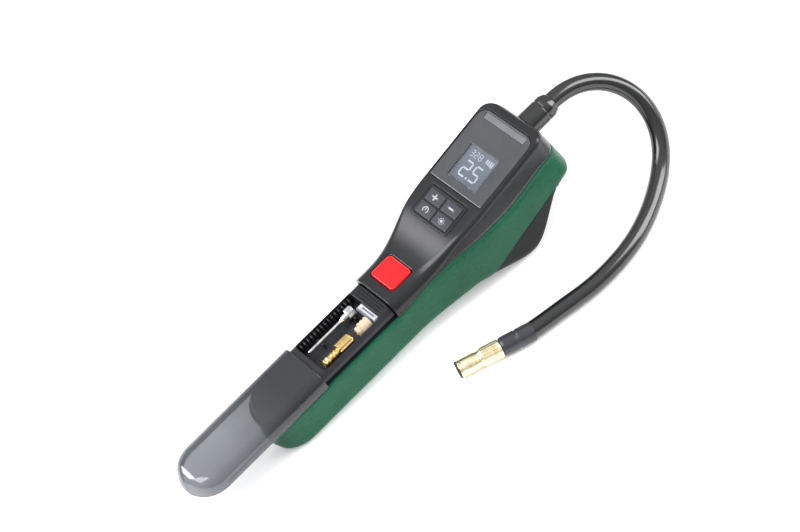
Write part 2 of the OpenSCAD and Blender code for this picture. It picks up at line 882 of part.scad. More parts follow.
module chuck_pin() color(brass) {
    at_hose_end(collar_len + 0.4) union() {
        along_x([8, 0, 0], 0.9, chuck_len - chuck_bore_len - 8.6);
        along_x([8, 0, 0], 2.1, 1.5);
    }
}

rear_shell();
front_shell();
motor_cover();
display_window();
light_lens();
light_led();
lcd_panel();
lcd_frame();
main_pcb();
key_switches();
keypad_bezel();
key_plus();
key_minus();
key_unit();
key_light();
power_button();
button_spring();
button_switch();
adapter_tray();
adapter_clip();
sliding_cover();
adapter_valve();
adapter_needle();
adapter_nozzle();
battery_cell();
battery_tab_rear();
battery_tab_front();
charge_board();
charge_port();
motor_can();
motor_cap();
motor_magnets();
motor_core();
motor_shaft();
pinion();
gearbox_frame();
gear_axle();
axle_clip();
crank_gear();
crank_pin();
connecting_rod();
piston_seal();
cylinder_sleeve();
cylinder_head();
valve_disc();
valve_spring();
air_tube();
pressure_sensor();
hose_gland();
hose();
hose_collar();
chuck_body();
chuck_seal();
chuck_pin();
shell_screws();
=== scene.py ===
"""Looks of a cordless tyre inflator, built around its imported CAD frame.

Shapes are in millimetres in the tool's own frame, as in the CAD: X from the butt to the head,
Z out of the display and Y across. TOOL then lays them on the surface, in metres.
"""

import math

import bmesh
import bpy
from mathutils import Matrix, Vector


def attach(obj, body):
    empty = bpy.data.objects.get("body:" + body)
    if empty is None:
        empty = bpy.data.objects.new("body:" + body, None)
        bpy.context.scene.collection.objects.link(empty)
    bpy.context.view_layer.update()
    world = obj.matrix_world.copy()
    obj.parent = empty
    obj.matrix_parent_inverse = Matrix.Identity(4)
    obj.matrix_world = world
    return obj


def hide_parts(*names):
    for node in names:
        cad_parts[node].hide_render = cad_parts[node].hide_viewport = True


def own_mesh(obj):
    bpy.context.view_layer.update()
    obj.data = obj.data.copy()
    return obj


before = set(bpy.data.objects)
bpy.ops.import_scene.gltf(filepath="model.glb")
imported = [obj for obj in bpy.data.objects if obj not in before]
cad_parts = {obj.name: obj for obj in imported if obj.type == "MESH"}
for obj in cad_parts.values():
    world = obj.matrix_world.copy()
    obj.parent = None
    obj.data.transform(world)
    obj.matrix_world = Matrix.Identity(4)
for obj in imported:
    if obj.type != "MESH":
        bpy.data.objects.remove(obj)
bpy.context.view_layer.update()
scene = bpy.context.scene

MM = 0.001

# Body form, the same as in the CAD
BODY_LEN = 224
HANDLE_R = 18
HANDLE_H = 36
HEAD_HALF = 24
HEAD_END_R = 10
BUTT_TOP_R = 9
BUTT_BOTTOM_R = 5
HEAD_EDGE_R = 6
HEAD_BACK_Z = 14
WALL = 2
NECK_START = 100
NECK_LEN = 60
RISE_START = 106
RISE_LEN = 40
FACE_X0 = 162
FACE_Z0 = 48
FACE_SLOPE = 0.19
FACE_ANGLE = math.degrees(math.atan(FACE_SLOPE))
BUMP_START = 140
BUMP_LOW_X = 181
BUMP_DEPTH = 15.5
BUMP_RUN_IN = 40
BUMP_RUN_OUT = 35
HEAD_LEAN_START = 180
HEAD_LEAN_LEN = 40
RIM_Z = 25
FRONT_START = 94
COVER_LEN = 93
COVER_OPEN = 53
COVER_WALL = 1.8
MOTOR_COVER = (150, 210)
MOTOR_COVER_STEP = 0.6
COVER_LINE_SLOPE = 0.31
PORT_Z = 11.6
PORT_HALF = (1.8, 4.7)
REST_TILT = 4.7
MID_X = 91.5
REST_DROP = 7.105

# Display, keypad and button
WINDOW_X = 163.5
WINDOW_LEN = 47.6
WINDOW_HALF = 21.5
WINDOW_R = 7
WINDOW_T = 2
LENS = (42, 46)
LENS_HALF = 16.5
LCD = (5.6, 27)
LCD_HALF = 11.7
KEYPAD_X = 140.5
KEYPAD_LEN = 20
KEYPAD_HALF = 15
KEY_SIZE = (7.95, 12.95)
KEY_GAP = 0.5
KEY_EDGE = 1.8
KEY_LIFT = 0.7
KEY_DROP = 2.6
BUTTON_X = 108.6
BUTTON_HALF = (7.8, 9.6)
BUTTON_TOP = 37.2
BUTTON_GAP = 0.4

# Storage bay
TRAY_INSET = 2.4
TRAY_Z = 22.8
TRAY_END = 93.6
BAY_X = (44, 86)
BAY_HALF = 13.2
BAY_FLOOR = 25
RIB_COUNT = 15
RIB_PITCH = 2.6
LIP_X = (19, 89)
LIP_Z = (26, 27)
LIP_HALF = 0.55
GROOVE_Y = 15.3
GROOVE_Z = (25.6, 27.4)
GRIP_SLOTS = (87.4, 89.2, 91.0)
ADAPTER_Z = 29.4
VALVE_Y = -8
NEEDLE_Y = 5.5
NOZZLE_Y = -8.4
CRADLES = (
    (51.6, VALVE_Y, 2.7), (62, VALVE_Y, 4.4), (55, NEEDLE_Y, 1.25), (77.5, NEEDLE_Y, 3.9),
    (73, NOZZLE_Y, 3.5),
)

# Hose and chuck
GLAND_Z = 44.5
GLAND_END = 236
GLAND_R = 7.4
GLAND_HOLE_R = 5.9
SOCKET_X = GLAND_END - 6
HOSE_R = 5.25
HOSE_END = (42.5, -61.5, 0.4)
CHUCK_ANGLE = 162
CHUCK_START = 9.4

# Inside the head, and what holds the shells
CYLINDER_X = 187
SCREWS = ((30, 12.6), (80, 12.6), (128, 15))

# Middle of a rounded edge, as a share of its radius from each of the two faces
MID_ROUND = 0.29


# ---- Placement ----

def at(*offset):
    return Matrix.Translation(Vector(offset) * MM)


def turn(degrees, axis):
    return Matrix.Rotation(math.radians(degrees), 4, axis)


TILT = math.radians(REST_TILT)
TOOL = at(HANDLE_H * math.sin(TILT), 0, REST_DROP) @ turn(-REST_TILT, "Y") @ at(-MID_X, 0, 0)
HOSE_TIP = at(HOSE_END[0], HOSE_END[1], HOSE_END[2] + HOSE_R) @ turn(CHUCK_ANGLE, "Z")


def on_face(x, depth=0):
    """Place on the display face, with Z along its normal"""
    return TOOL @ at(x, 0, slope_z(x)) @ turn(-FACE_ANGLE, "Y") @ at(0, 0, -depth)


# ---- Body form ----

def smooth(t):
    u = min(max(t, 0), 1)
    return u * u * (3 - 2 * u)


def round_end(radius, inset, d):
    if d >= radius:
        return 0
    return radius - inset - math.sqrt(max(0, (radius - inset) ** 2 - (radius - d) ** 2))


def half_width(x, inset):
    flare = HANDLE_R + (HEAD_HALF - HANDLE_R) * smooth((x - NECK_START) / NECK_LEN)
    return max(0, flare - inset - round_end(HANDLE_R, inset, x)
               - round_end(HEAD_END_R, inset, BODY_LEN - x))


def slope_z(x):
    return FACE_Z0 + FACE_SLOPE * (x - FACE_X0)


def top_z(x, inset):
    t = smooth((x - RISE_START) / RISE_LEN)
    face = HANDLE_H * (1 - t) + slope_z(x) * t
    return (face - inset - round_end(BUTT_TOP_R, inset, x)
            - round_end(HEAD_EDGE_R, inset, BODY_LEN - x))


def bottom_z(x, inset):
    if x < BUMP_LOW_X:
        back = -BUMP_DEPTH * smooth((x - BUMP_START) / BUMP_RUN_IN)
    else:
        back = -BUMP_DEPTH + (BUMP_DEPTH + HEAD_BACK_Z) * smooth((x - BUMP_LOW_X) / BUMP_RUN_OUT)
    return (back + inset + round_end(BUTT_BOTTOM_R, inset, x)
            + round_end(HEAD_EDGE_R, inset, BODY_LEN - x))


def leaned(x, y, z):
    """Point of the body form with the head's end leaned back, square to the display face"""
    lean = FACE_SLOPE * smooth((x - HEAD_LEAN_START) / HEAD_LEAN_LEN)
    back = lean * max(0, z - HEAD_BACK_Z - HEAD_EDGE_R)
    return x - back, y, z - FACE_SLOPE * back


def rim(x):
    """Parting line between the front and the rear shell"""
    return RIM_Z + 8 * smooth((x - 92) / 45) + 9 * smooth((x - 170) / 50)


def cover_line(x):
    """Parting line between the rear shell and the motor cover"""
    return COVER_LINE_SLOPE * (x - MOTOR_COVER[0])


# ---- Meshes ----

def solid(name, points, faces, place=TOOL):
    """Object made of points in millimetres, joined where they meet"""
    mesh = bpy.data.meshes.new(name)
    mesh.from_pydata([Vector(p) * MM for p in points], [], faces)
    bm = bmesh.new()
    bm.from_mesh(mesh)
    bmesh.ops.remove_doubles(bm, verts=bm.verts, dist=2e-6)
    bmesh.ops.dissolve_degenerate(bm, dist=1e-7, edges=bm.edges)
    bmesh.ops.recalc_face_normals(bm, faces=bm.faces)
    bm.to_mesh(mesh)
    bm.free()
    obj = bpy.data.objects.new(name, mesh)
    scene.collection.objects.link(obj)
    obj.matrix_world = place
    return obj


def loft(rings, closed=False):
    """Points and faces of a skin through rings of equal length, with ends unless it's closed"""
    n = len(rings[0])
    count = len(rings)
    faces = []
    for i in range(count if closed else count - 1):
        a, b = i * n, (i + 1) % count * n
        faces += [(a + j, a + (j + 1) % n, b + (j + 1) % n, b + j) for j in range(n)]
    if not closed:
        faces += [tuple(range(n)), tuple(range((count - 1) * n, count * n))]
    return [p for ring in rings for p in ring], faces


def combined(parts):
    """Points and faces of several bodies as one"""
    points, faces = [], []
    for part_points, part_faces in parts:
        base = len(points)
        points += part_points
        faces += [tuple(i + base for i in face) for face in part_faces]
    return points, faces


def moved(part, offset):
    return [tuple(Vector(p) + Vector(offset)) for p in part[0]], part[1]


def carve(obj, others, operation="DIFFERENCE"):
    """Cuts other objects out of one, or joins them to it, and removes them"""
    for other in others:
        step = obj.modifiers.new("cut", "BOOLEAN")
        step.operation = operation
        step.object = other
        step.solver = "EXACT"
    bpy.context.view_layer.update()
    shape = obj.evaluated_get(bpy.context.evaluated_depsgraph_get())
    mesh = bpy.data.meshes.new_from_object(shape)
    obj.modifiers.clear()
    obj.data = mesh
    for other in others:
        bpy.data.objects.remove(other)
    return obj


def rect(x0, x1, y0, y1, radius=1.0, steps=5):
    """Outline of a rectangle with round corners, as a function of its inset"""
    def outline(inset):
        r = max(radius - inset, 0.05)
        points = []
        for k, (cx, cy) in enumerate(((x1 - r, y1 - r), (x0 + r, y1 - r),
                                      (x0 + r, y0 + r), (x1 - r, y0 + r))):
            dx = -inset if cx > (x0 + x1) / 2 else inset
            dy = -inset if cy > (y0 + y1) / 2 else inset
            for i in range(steps + 1):
                a = math.radians(90 * k + 90 * i / steps)
                points.append((cx + dx + r * math.cos(a), cy + dy + r * math.sin(a)))
        return points
    return outline


def ring_of(radius, sides=32, centre=(0, 0)):
    """Outline of a circle, as a function of its inset"""
    def outline(inset):
        r = max(radius - inset, 0.02)
        return [(centre[0] + r * math.cos(2 * math.pi * k / sides),
                 centre[1] + r * math.sin(2 * math.pi * k / sides)) for k in range(sides)]
    return outline


def slab(outline, profile):
    """Points and faces of a body with its outline drawn at each (inset, height) of the profile"""
    return loft([[(x, y, z) for x, y in outline(inset)] for inset, z in profile])


def cutter(outline, profile, place=TOOL):
    """Slab that is there to be cut out of a piece"""
    return solid("cutter", *slab(outline, profile), place)


def layers(bottom, top, low=0.0, high=0.4, steps=3):
    """Layers of a slab whose bottom edge is rounded by low and top edge by high"""
    result = []
    if low:
        for k in range(steps + 1):
            a = math.pi / 2 * k / steps
            result.append((low * (1 - math.sin(a)), bottom + low * (1 - math.cos(a))))
    else:
        result.append((0, bottom))
    if high:
        for k in range(steps, -1, -1):
            a = math.pi / 2 * k / steps
            result.append((high * (1 - math.sin(a)), top - high * (1 - math.cos(a))))
    else:
        result.append((0, top))
    return result


def flared(deep, face, edge=0.4, above=6, steps=3):
    """Layers of a cutter that leaves a rounded edge where it meets a face"""
    result = [(0, deep)]
    for k in range(steps + 1):
        a = math.pi / 2 * k / steps
        result.append((-edge * (1 - math.cos(a)), face - edge * (1 - math.sin(a))))
    return result + [(-edge, face + above)]


def softened(points, radius, closed=False, steps=3):
    """Points of a flat line with its corners rounded"""
    result = []
    count = len(points)
    for i, p in enumerate(points):
        here = Vector(p)
        if not closed and i in (0, count - 1):
            result.append(tuple(here))
            continue
        ways = [Vector(points[i - 1]) - here, Vector(points[(i + 1) % count]) - here]
        a, b = (here + way.normalized() * min(radius, way.length * 0.45) for way in ways)
        for k in range(steps + 1):
            t = k / steps
            result.append(tuple((1 - t) ** 2 * a + 2 * t * (1 - t) * here + t * t * b))
    return result


def turned(profile, sides=56, closed=False, flutes=None):
    """Points and faces of a body turned about X from (x, radius) pairs; flutes are a count,
    a depth and the stretch of X that they run along"""
    rings = []
    for x, r in profile:
        ring = []
        for k in range(sides):
            a = 2 * math.pi * k / sides
            fluted = flutes and flutes[2] <= x <= flutes[3]
            cut = flutes[1] * (0.5 - 0.5 * math.cos(flutes[0] * a)) if fluted else 0
            ring.append((x, (r - cut) * math.cos(a), (r - cut) * math.sin(a)))
        rings.append(ring)
    return loft(rings, closed)


def along(points_xz, half):
    """Points and faces of a side outline, drawn in X and Z, that reaches half to each side"""
    return loft([[(x, y, z) for x, z in points_xz] for y in (-half, half)])


# ---- Materials ----

def linear(red, green, blue):
    """Colour from 0 to 255 as the eye sees it, for a shader"""
    parts = []
    for value in (red, green, blue):
        v = value / 255
        parts.append(v / 12.92 if v <= 0.04045 else ((v + 0.055) / 1.055) ** 2.4)
    return (*parts, 1)


class Nodes:
    """Short names for the nodes of one material"""

    def __init__(self, name):
        self.material = bpy.data.materials.new(name)
        self.material.use_nodes = True
        self.tree = self.material.node_tree
        self.shader = self.tree.nodes["Principled BSDF"]
        self.place = self.add("ShaderNodeTexCoord").outputs["Object"]

    def add(self, kind, links=None, **values):
        node = self.tree.nodes.new(kind)
        for key, value in values.items():
            setattr(node, key, value)
        for socket, source in (links or {}).items():
            self.feed(node.inputs[socket], source)
        return node

    def feed(self, socket, source):
        if isinstance(source, bpy.types.NodeSocket):
            self.tree.links.new(source, socket)
        else:
            socket.default_value = source

    def noise(self, scale, detail=3.0, place=None):
        links = {"Vector": place or self.place, "Scale": scale, "Detail": detail}
        return self.add("ShaderNodeTexNoise", links).outputs["Fac"]

    def spread(self, value, low, high, start=0.3, end=0.7):
        """Value from start to end, as a number from low to high"""
        links = {0: value, 1: start, 2: end, 3: low, 4: high}
        return self.add("ShaderNodeMapRange", links).outputs[0]

    def mix(self, share, first, second):
        node = self.add("ShaderNodeMix", data_type="RGBA")
        self.feed(node.inputs[0], share)
        self.feed(node.inputs[6], first)
        self.feed(node.inputs[7], second)
        return node.outputs[2]

    def relief(self, height, depth, before=None):
        """Normal of a relief that is depth millimetres high"""
        links = {"Height": height, "Distance": depth * MM, "Strength": 1.0}
        if before is not None:
            links["Normal"] = before
        return self.add("ShaderNodeBump", links).outputs["Normal"]

    def set(self, **values):
        """Sets the shader's own sockets; an underscore stands for a space"""
        for key, value in values.items():
            self.feed(self.shader.inputs[key.replace("_", " ")], value)
        return self


def surface(name, colour, rough, second=None, metal=0.0, blotch=70.0, grain=2200.0, relief=0.01,
            rough_range=0.06, wear=None, sheen=0.5, **extra):
    """Material with soft changes of colour and gloss and a fine grain. Its edges turn to the
    colour wear, where that is given, and sheen is the strength of its reflections"""
    n = Nodes(name)
    second = second or tuple(c * 0.82 for c in colour)
    tint = n.mix(n.spread(n.noise(blotch), 0.0, 1.0), colour, (*second[:3], 1))
    if wear:
        edge = n.add("ShaderNodeNewGeometry").outputs["Pointiness"]
        rubbed = n.spread(edge, 0.0, 0.5, 0.54, 0.66)
        tint = n.mix(rubbed, tint, wear)
    fine = n.noise(grain, 2.0)
    gloss = n.spread(n.noise(blotch * 3.1), rough - rough_range / 2, rough + rough_range)
    n.set(Base_Color=tint, Roughness=gloss, Metallic=metal, Normal=n.relief(fine, relief),
          Specular_IOR_Level=sheen)
    return n.set(**extra).material


def turned_metal(name, colour, second, rough, pitch=2600.0):
    """Metal with the fine rings that a lathe leaves across X, and a little tarnish"""
    n = Nodes(name)
    x = n.add("ShaderNodeSeparateXYZ", {0: n.place}).outputs[0]
    rings = n.add("ShaderNodeTexNoise", {"W": x, "Scale": pitch, "Detail": 2.0},
                  noise_dimensions="1D").outputs["Fac"]
    stain = n.spread(n.noise(260.0, 4.0), 0.0, 1.0, 0.42, 0.7)
    n.set(Base_Color=n.mix(stain, colour, second), Metallic=1.0,
          Roughness=n.spread(rings, rough - 0.05, rough + 0.1),
          Normal=n.relief(rings, 0.006))
    return n.material


# Stretch of the clear cover over which its colour darkens towards its mouth: painted shade of the dark
# tray under it
PAINTED_SHADE_X = (35, 75)


def clear_plastic(name, colour, rough, ior=1.49, share=1.0, painted_shade=None):
    """Clear moulding with faint flow marks and fine scratches. Where a second colour is given, it is
    painted shade: the colour turns to it along the stretch set above, darkening the cover towards its
    mouth"""
    n = Nodes(name)
    flow = n.noise(45.0, 2.0)
    tint = n.mix(n.spread(flow, 0.0, 1.0), colour, tuple(c * 0.9 for c in colour[:3]) + (1,))
    # Painted shade: the colour darkens along the stretch towards the cover's mouth, where it lies over the
    # dark tray
    if painted_shade:
        x = n.add("ShaderNodeSeparateXYZ", {0: n.place}).outputs[0]
        tint = n.mix(n.spread(x, 0.0, 1.0, PAINTED_SHADE_X[0] * MM, PAINTED_SHADE_X[1] * MM), tint, painted_shade)
    stretched = n.add("ShaderNodeMapping", {"Vector": n.place, "Scale": (1.0, 14.0, 14.0)})
    marks = n.noise(160.0, 3.0, stretched.outputs[0])
    n.set(Base_Color=tint, Roughness=n.spread(marks, rough, rough + 0.06), IOR=ior,
          Transmission_Weight=share, Normal=n.relief(flow, 0.01))
    return n.material


def circuit(name):
    """Green board with paler copper tracks under its lacquer"""
    n = Nodes(name)
    tracks = n.add("ShaderNodeTexBrick", {
        "Vector": n.place, "Scale": 420.0, "Mortar Size": 0.012,
        "Color1": linear(24, 82, 54), "Color2": linear(20, 72, 46), "Mortar": linear(70, 128, 84)})
    blend = n.mix(n.spread(n.noise(300.0), 0.0, 0.4), tracks.outputs["Color"], linear(14, 58, 36))
    n.set(Base_Color=blend, Roughness=n.spread(n.noise(500.0), 0.28, 0.4),
          Normal=n.relief(tracks.outputs["Fac"], 0.03))
    return n.material


def display(name):
    """Panel of the display: grey blue, paler where its lamp sits, with a fine pixel grid"""
    n = Nodes(name)
    x = n.add("ShaderNodeSeparateXYZ", {0: n.place}).outputs[0]
    lamp = n.spread(x, 0.0, 1.0, (LCD[0] + 4) * MM, LCD[1] * MM)
    grid = n.add("ShaderNodeTexChecker", {"Vector": n.place, "Scale": 2600.0}).outputs["Fac"]
    base = n.mix(lamp, linear(138, 145, 155), linear(158, 165, 174))
    tint = n.mix(n.spread(grid, 0.0, 0.06, 0.0, 1.0), base, linear(104, 111, 124))
    n.set(Base_Color=tint, Roughness=n.spread(n.noise(300.0), 0.35, 0.45), Emission_Color=tint,
          Emission_Strength=0.12)
    return n.material


LOOKS = {
    "green_shell": surface("green_shell", linear(17, 82, 58), 0.28, linear(14, 75, 52),
                           relief=0.004, sheen=0.16),
    "grey_shell": surface("grey_shell", linear(30, 31, 34), 0.24, linear(25, 26, 29), sheen=0.34,
                          grain=2600.0, relief=0.004, rough_range=0.03),
    "black_cover": surface("black_cover", linear(24, 25, 27), 0.42, linear(19, 20, 22),
                           grain=1900.0, relief=0.012, sheen=0.16),
    "display_black": surface("display_black", linear(58, 60, 64), 0.1, linear(52, 54, 58),
                             grain=400.0, relief=0.001, rough_range=0.03, Coat_Weight=0.6,
                             Coat_Roughness=0.04),
    "lamp_lens": surface("lamp_lens", linear(128, 129, 134), 0.3, linear(114, 115, 120),
                         grain=1200.0, relief=0.02, Transmission_Weight=0.3),
    "white_plastic": surface("white_plastic", linear(226, 227, 224), 0.42,
                             linear(214, 215, 210)),
    "lcd": display("lcd"),
    "board": circuit("board"),
    "steel": surface("steel", linear(186, 189, 193), 0.3, linear(160, 163, 168), metal=1.0,
                     blotch=320.0, grain=3000.0, relief=0.004, rough_range=0.12),
    "red_button": surface("red_button", linear(214, 26, 32), 0.26, linear(202, 20, 26),
                          relief=0.008, wear=linear(232, 90, 84), sheen=0.25, Coat_Weight=0.1,
                          Coat_Roughness=0.15),
    "tray": surface("tray", linear(36, 37, 41), 0.34, linear(30, 31, 35), relief=0.006, sheen=0.3),
    "clip_grey": surface("clip_grey", linear(158, 161, 170), 0.38, linear(142, 145, 154),
                         wear=linear(205, 207, 212)),
    # The clear cover gets painted shade: darker towards its mouth, where it lies over the dark tray
    "clear_cover": clear_plastic("clear_cover", linear(118, 121, 127), 0.06, share=0.8,
                                 painted_shade=linear(80, 83, 88)),
    "brass": turned_metal("brass", linear(222, 194, 132), linear(196, 160, 96), 0.26),
    "chrome": turned_metal("chrome", linear(226, 228, 232), linear(190, 193, 198), 0.12),
    "ivory_plastic": surface("ivory_plastic", linear(190, 174, 152), 0.4,
                             linear(176, 158, 136), wear=linear(214, 202, 184)),
    "cell_wrap": surface("cell_wrap", linear(48, 98, 160), 0.3, linear(40, 86, 144),
                         Coat_Weight=0.4, Coat_Roughness=0.1),
    "magnet": surface("magnet", linear(62, 62, 66), 0.5, linear(48, 48, 52), metal=0.4,
                      grain=1500.0, relief=0.03),
    "copper": surface("copper", linear(196, 118, 70), 0.32, linear(164, 90, 50), metal=1.0,
                      blotch=500.0, grain=1600.0, relief=0.03, rough_range=0.14),
    "seal_rubber": surface("seal_rubber", linear(34, 34, 36), 0.55, linear(28, 28, 30),
                           grain=2600.0, relief=0.02),
    "aluminium": surface("aluminium", linear(196, 198, 202), 0.34, linear(172, 174, 180),
                         metal=1.0, blotch=240.0, relief=0.012, rough_range=0.14),
    "hose_rubber": surface("hose_rubber", linear(20, 21, 23), 0.2, linear(16, 17, 19),
                           blotch=120.0, grain=1500.0, relief=0.008, rough_range=0.05,
                           Coat_Weight=0.5, Coat_Roughness=0.1),
    "pale_brass": turned_metal("pale_brass", linear(240, 228, 194), linear(220, 198, 150), 0.3),
    "key_rubber": surface("key_rubber", linear(58, 60, 66), 0.46, linear(50, 52, 58),
                          grain=2800.0, relief=0.02, wear=linear(96, 98, 104), sheen=0.25),
}
GLASS = clear_plastic("display_glass", linear(214, 218, 224), 0.03)
PALE_INK = surface("pale_ink", linear(214, 216, 222), 0.5, linear(200, 203, 208),
                   Emission_Color=linear(222, 224, 230), Emission_Strength=0.8)
KEY_INK = surface("key_ink", linear(168, 170, 176), 0.5, linear(154, 156, 162), relief=0.004)
SLEEVE_GREY = surface("sleeve_grey", linear(46, 48, 53), 0.28, linear(39, 41, 46), relief=0.008)


def piece(obj, body, slot, replaced=(), look=None, crease=38):
    """Gives an object its body, material and smooth shading, and hides the nodes it stands for"""
    obj.data.materials.clear()
    obj.data.materials.append(look or LOOKS[slot])
    if obj.type == "MESH":
        obj.data.polygons.foreach_set("material_index", [0] * len(obj.data.polygons))
        obj.data.polygons.foreach_set("use_smooth", [True] * len(obj.data.polygons))
        obj.data.set_sharp_from_angle(angle=math.radians(crease))
    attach(obj, body)
    if replaced:
        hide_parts(*replaced)
    return obj


# ---- Camera ----

CAMERA_TARGET = Vector((0.0250, 0.0036, 0.0390))
CAMERA_AZIMUTH = -22.05
CAMERA_ELEVATION = 49.2
CAMERA_ROLL = -24.55
CAMERA_DISTANCE = 1.5
VIEW_WIDTH = 0.437
SENSOR = 36

azimuth, elevation = math.radians(CAMERA_AZIMUTH), math.radians(CAMERA_ELEVATION)
back = Vector((math.sin(azimuth) * math.cos(elevation),
               -math.cos(azimuth) * math.cos(elevation), math.sin(elevation)))
camera = bpy.data.objects.new("camera", bpy.data.cameras.new("camera"))
scene.collection.objects.link(camera)
scene.camera = camera
camera.data.sensor_width = SENSOR
camera.data.lens = SENSOR * CAMERA_DISTANCE / VIEW_WIDTH
camera.data.clip_start, camera.data.clip_end = 0.05, 20
camera.matrix_world = (Matrix.Translation(CAMERA_TARGET + back * CAMERA_DISTANCE)
                       @ back.to_track_quat("Z", "Y").to_matrix().to_4x4()
                       @ turn(CAMERA_ROLL, "Z"))

# ---- Hose ----

# Corners that the hose rounds on its way over the surface: x, y and the gap under the hose
HOSE_ROUTE = (
    (143, 0, 58), (153.5, 0.5, 58.5), (168, -2, 55), (180.5, -7.5, 47), (188, -16.5, 36),
    (189, -26, 23.5), (184, -35, 12), (174, -43, 3.5), (161, -51, 0), (147.5, -58.5, 0),
    (133.5, -64.5, 0), (118.5, -68, 0), (103, -69.5, 0), (88, -69, 0), (72.5, -66.5, 0),
    (58, -65, 0), (47, -63, 0.3), HOSE_END,
)
hose_start = TOOL @ (Vector((SOCKET_X, 0, GLAND_Z)) * MM)
hose_points = [hose_start] + [Vector((x, y, gap + HOSE_R)) * MM for x, y, gap in HOSE_ROUTE]

line = bpy.data.curves.new("hose_line", "CURVE")
line.dimensions = "3D"
line.bevel_depth = HOSE_R * MM
line.bevel_resolution = 7
line.resolution_u = 6
line.use_fill_caps = True
spline = line.splines.new("NURBS")
spline.points.add(len(hose_points) - 1)
for knot, here in zip(spline.points, hose_points):
    knot.co = (*here, 1)
spline.order_u = 4
spline.use_endpoint_u = True
hose = bpy.data.objects.new("rubber_hose", line)
scene.collection.objects.link(hose)
piece(hose, "body", "hose_rubber", ["hose"])

# Plain boot that leaves the head's end and narrows to the hose at its mouth
boot_profile = [(213.1, GLAND_R - 0.2), (215.4, GLAND_R - 0.2), (215.4, 5.8), (218, 5.8),
                (218, GLAND_R), (230.2, GLAND_R), (230.5, GLAND_R - 0.35), (231.1, GLAND_R - 0.35),
                (231.4, GLAND_R), (234.6, GLAND_R - 0.1), (237.6, HOSE_R + 1.0),
                (238.0, HOSE_R + 0.25), (GLAND_END, HOSE_R + 0.1), (SOCKET_X, HOSE_R + 0.1),
                (SOCKET_X, 2.2), (213.1, 2.2)]
boot = solid("hose_boot", *turned(softened(boot_profile, 0.35, True), closed=True),
             TOOL @ at(0, 0, GLAND_Z))
piece(boot, "body", "hose_rubber", ["hose_gland"])

# Crimped sleeve at the hose's other end
sleeve_profile = [(-10.5, HOSE_R - 0.05), (-10.5, HOSE_R + 0.2), (-8, 5.6), (-1.5, 5.6),
                  (-1.2, 5.35), (-0.4, 5.35), (-0.1, 5.6), (7.6, 5.6), (9.0, 5.2), (9.0, 4.4),
                  (13.0, 4.4), (13.0, 1.6), (0.0, 1.6), (0.0, HOSE_R - 0.05)]
sleeve = solid("hose_sleeve", *turned(softened(sleeve_profile, 0.3, True), closed=True), HOSE_TIP)
piece(sleeve, "body", "hose_rubber", ["hose_collar"], SLEEVE_GREY)

# Chuck with a gripping ring, a waist and a black seal at its mouth
chuck_profile = [(CHUCK_START + x, r) for x, r in (
    (0, 4.45), (0, 5.3), (0.4, 5.6), (1.2, 5.6), (10.6, 5.6), (11.4, 5.6), (12.0, 5.1),
    (12.6, 4.75), (14.2, 4.75), (14.8, 5.1), (22.6, 5.1), (23.0, 4.9), (23.6, 4.9), (24.0, 5.1),
    (25.4, 5.1), (26.0, 4.7), (26.0, 4.25), (25.6, 3.95), (18.0, 3.95), (18.0, 3.45),
    (15.7, 3.45), (15.7, 2.2), (5.0, 2.2), (5.0, 4.45))]
chuck_flutes = (24, 0.22, CHUCK_START + 1.0, CHUCK_START + 11.0)
chuck = solid("chuck", *turned(softened(chuck_profile, 0.25, True), 96, True, chuck_flutes), HOSE_TIP)
piece(chuck, "chuck", "pale_brass", ["chuck_body"])
mouth_profile = [(CHUCK_START + x, r) for x, r in ((25.1, 4.1), (25.1, 5.05), (26.6, 4.9), (26.6, 4.1))]
mouth = solid("chuck_mouth", *turned(softened(mouth_profile, 0.3, True), 48, True), HOSE_TIP)
piece(mouth, "chuck", "seal_rubber")

# ---- Shells ----

SIDE_STEPS = 7
ARC_STEPS = 8
FLAT_STEPS = 6
EDGE = 0.45
HALF_EDGE = MID_ROUND * EDGE


def butt_station(angle):
    a = math.radians(angle)
    return lambda inset: HANDLE_R - (HANDLE_R - inset) * math.cos(a)


def head_station(angle):
    a = math.radians(angle)
    return lambda inset: BODY_LEN - HEAD_END_R + (HEAD_END_R - inset) * math.sin(a)


def plain_station(x):
    return lambda inset: x


def stations(first, last, step=2.0):
    """Stations with no extra inset from one x to another"""
    count = max(1, round((last - first) / step))
    return [(plain_station(first + (last - first) * k / count), 0) for k in range(count + 1)]


def cut_end(x, way):
    """Stations that round the edge of a cut end; way is 1 at the low end and -1 at the high one"""
    made = [(plain_station(x), EDGE), (plain_station(x + way * HALF_EDGE), HALF_EDGE),
            (plain_station(x + way * EDGE), 0)]
    return made if way > 0 else made[::-1]


BUTT = [(butt_station(a), 0) for a in (0, 4, 9, 15, 21, 28, 35, 42, 49, 56, 63, 70, 77, 84)]
HEAD = [(head_station(a), 0) for a in range(9, 91, 9)]


def half_section(x, inset, part, up):
    """Right half of the body's section, as (y, z), from a parting line to its top or its back"""
    side = 1 if up else -1
    width, top, bottom = half_width(x, inset), top_z(x, inset), bottom_z(x, inset)
    corner = 9 - 6 * smooth((x - 105) / 45) if up else 5 + 3 * smooth((x - 145) / 25)
    radius = min(0.98 * min(width, (top - bottom) / 2), max(0.8, corner - inset))
    radius = max(radius, 1e-4)
    level = top if up else bottom
    centre = level - side * radius
    start = math.asin(min(1, max(0, side * (part - centre) / radius)))
    low = (width - radius + radius * math.cos(start), centre + side * radius * math.sin(start))
    points = []
    for k in range(SIDE_STEPS):
        above = part + (centre - part) * k / SIDE_STEPS
        points.append((low[0], above) if start == 0 else low)
    for k in range(ARC_STEPS + 1):
        a = start + (math.pi / 2 - start) * k / ARC_STEPS
        points.append((width - radius + radius * math.cos(a),
                       centre + side * radius * math.sin(a)))
    for k in range(1, FLAT_STEPS + 1):
        points.append(((width - radius) * (1 - k / FLAT_STEPS), level))
    return points


def mirrored(half):
    return half + [(x, -y, z) for x, y, z in reversed(half[:-1])]


